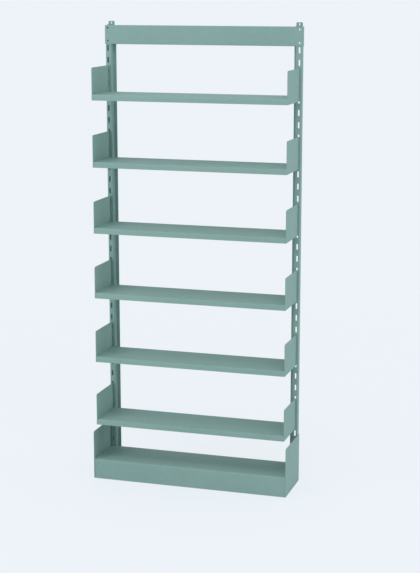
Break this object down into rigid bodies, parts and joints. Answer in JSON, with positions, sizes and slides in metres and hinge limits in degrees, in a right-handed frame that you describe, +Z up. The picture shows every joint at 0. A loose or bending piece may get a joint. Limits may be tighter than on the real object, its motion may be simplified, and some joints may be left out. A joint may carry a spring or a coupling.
{
  "type": "single-sided library shelving",
  "caption": "Tall one-bay steel shelving with slotted uprights, a top beam, hook-in adjustable shelves and a low base shelf with a kick skirt.",
  "frame": {"origin": "on the floor, under the middle of the outline", "axes": "+Z up, +X to the right along the shelves, -Y to the front, where the books go in"},
  "size_m": [1.0146, 0.275, 2.3153],
  "materials": {
    "paint": "pale grey-green powder coat, satin",
    "zinc": "bright zinc plating"
  },
  "bodies": {
    "frame": {"upright_left": "paint", "upright_right": "paint", "top_beam": "paint", "rear_tie": "paint", "base_end_left": "paint", "base_end_right": "paint", "wall_tab_left": "paint", "wall_tab_right": "paint", "beam_nut_left": "zinc", "beam_nut_right": "zinc", "base_nut_left_1": "zinc", "base_nut_right_1": "zinc", "base_nut_left_2": "zinc", "base_nut_right_2": "zinc", "tie_bolt_left_1": "zinc", "tie_bolt_right_1": "zinc", "tie_bolt_left_2": "zinc", "tie_bolt_right_2": "zinc", "tab_bolt_left": "zinc", "tab_bolt_right": "zinc"},
    "shelf_1_brackets": {"shelf_1_bracket_left": "paint", "shelf_1_bracket_right": "paint"},
    "shelf_1_deck": {"shelf_1_tray": "paint"},
    "shelf_2_brackets": {"shelf_2_bracket_left": "paint", "shelf_2_bracket_right": "paint"},
    "shelf_2_deck": {"shelf_2_tray": "paint"},
    "shelf_3_brackets": {"shelf_3_bracket_left": "paint", "shelf_3_bracket_right": "paint"},
    "shelf_3_deck": {"shelf_3_tray": "paint"},
    "shelf_4_brackets": {"shelf_4_bracket_left": "paint", "shelf_4_bracket_right": "paint"},
    "shelf_4_deck": {"shelf_4_tray": "paint"},
    "shelf_5_brackets": {"shelf_5_bracket_left": "paint", "shelf_5_bracket_right": "paint"},
    "shelf_5_deck": {"shelf_5_tray": "paint"},
    "shelf_6_brackets": {"shelf_6_bracket_left": "paint", "shelf_6_bracket_right": "paint"},
    "shelf_6_deck": {"shelf_6_tray": "paint"},
    "base_shelf": {"base_deck": "paint"},
    "front_left_foot": {"foot_front_left": "zinc"},
    "front_right_foot": {"foot_front_right": "zinc"},
    "rear_left_foot": {"foot_rear_left": "zinc"},
    "rear_right_foot": {"foot_rear_right": "zinc"}
  },
  "joints": [
    {"name": "shelf_1_unhook", "type": "slide", "parent": "frame", "child": "shelf_1_brackets", "axis": [0, 0, 1], "range_m": [0, 0.012]},
    {"name": "shelf_1_lift", "type": "slide", "parent": "shelf_1_brackets", "child": "shelf_1_deck", "axis": [0, 0, 1], "range_m": [0, 0.15]},
    {"name": "shelf_2_unhook", "type": "slide", "parent": "frame", "child": "shelf_2_brackets", "axis": [0, 0, 1], "range_m": [0, 0.012]},
    {"name": "shelf_2_lift", "type": "slide", "parent": "shelf_2_brackets", "child": "shelf_2_deck", "axis": [0, 0, 1], "range_m": [0, 0.15]},
    {"name": "shelf_3_unhook", "type": "slide", "parent": "frame", "child": "shelf_3_brackets", "axis": [0, 0, 1], "range_m": [0, 0.012]},
    {"name": "shelf_3_lift", "type": "slide", "parent": "shelf_3_brackets", "child": "shelf_3_deck", "axis": [0, 0, 1], "range_m": [0, 0.15]},
    {"name": "shelf_4_unhook", "type": "slide", "parent": "frame", "child": "shelf_4_brackets", "axis": [0, 0, 1], "range_m": [0, 0.012]},
    {"name": "shelf_4_lift", "type": "slide", "parent": "shelf_4_brackets", "child": "shelf_4_deck", "axis": [0, 0, 1], "range_m": [0, 0.15]},
    {"name": "shelf_5_unhook", "type": "slide", "parent": "frame", "child": "shelf_5_brackets", "axis": [0, 0, 1], "range_m": [0, 0.012]},
    {"name": "shelf_5_lift", "type": "slide", "parent": "shelf_5_brackets", "child": "shelf_5_deck", "axis": [0, 0, 1], "range_m": [0, 0.15]},
    {"name": "shelf_6_unhook", "type": "slide", "parent": "frame", "child": "shelf_6_brackets", "axis": [0, 0, 1], "range_m": [0, 0.012]},
    {"name": "shelf_6_lift", "type": "slide", "parent": "shelf_6_brackets", "child": "shelf_6_deck", "axis": [0, 0, 1], "range_m": [0, 0.15]},
    {"name": "base_shelf_lift", "type": "slide", "parent": "frame", "child": "base_shelf", "axis": [0, 0, 1], "range_m": [0, 0.15]},
    {"name": "front_left_foot_level", "type": "slide", "parent": "frame", "child": "front_left_foot", "axis": [0, 0, -1], "range_m": [0, 0.015]},
    {"name": "front_right_foot_level", "type": "slide", "parent": "frame", "child": "front_right_foot", "axis": [0, 0, -1], "range_m": [0, 0.015]},
    {"name": "rear_left_foot_level", "type": "slide", "parent": "frame", "child": "rear_left_foot", "axis": [0, 0, -1], "range_m": [0, 0.015]},
    {"name": "rear_right_foot_level", "type": "slide", "parent": "frame", "child": "rear_right_foot", "axis": [0, 0, -1], "range_m": [0, 0.015]}
  ]
}
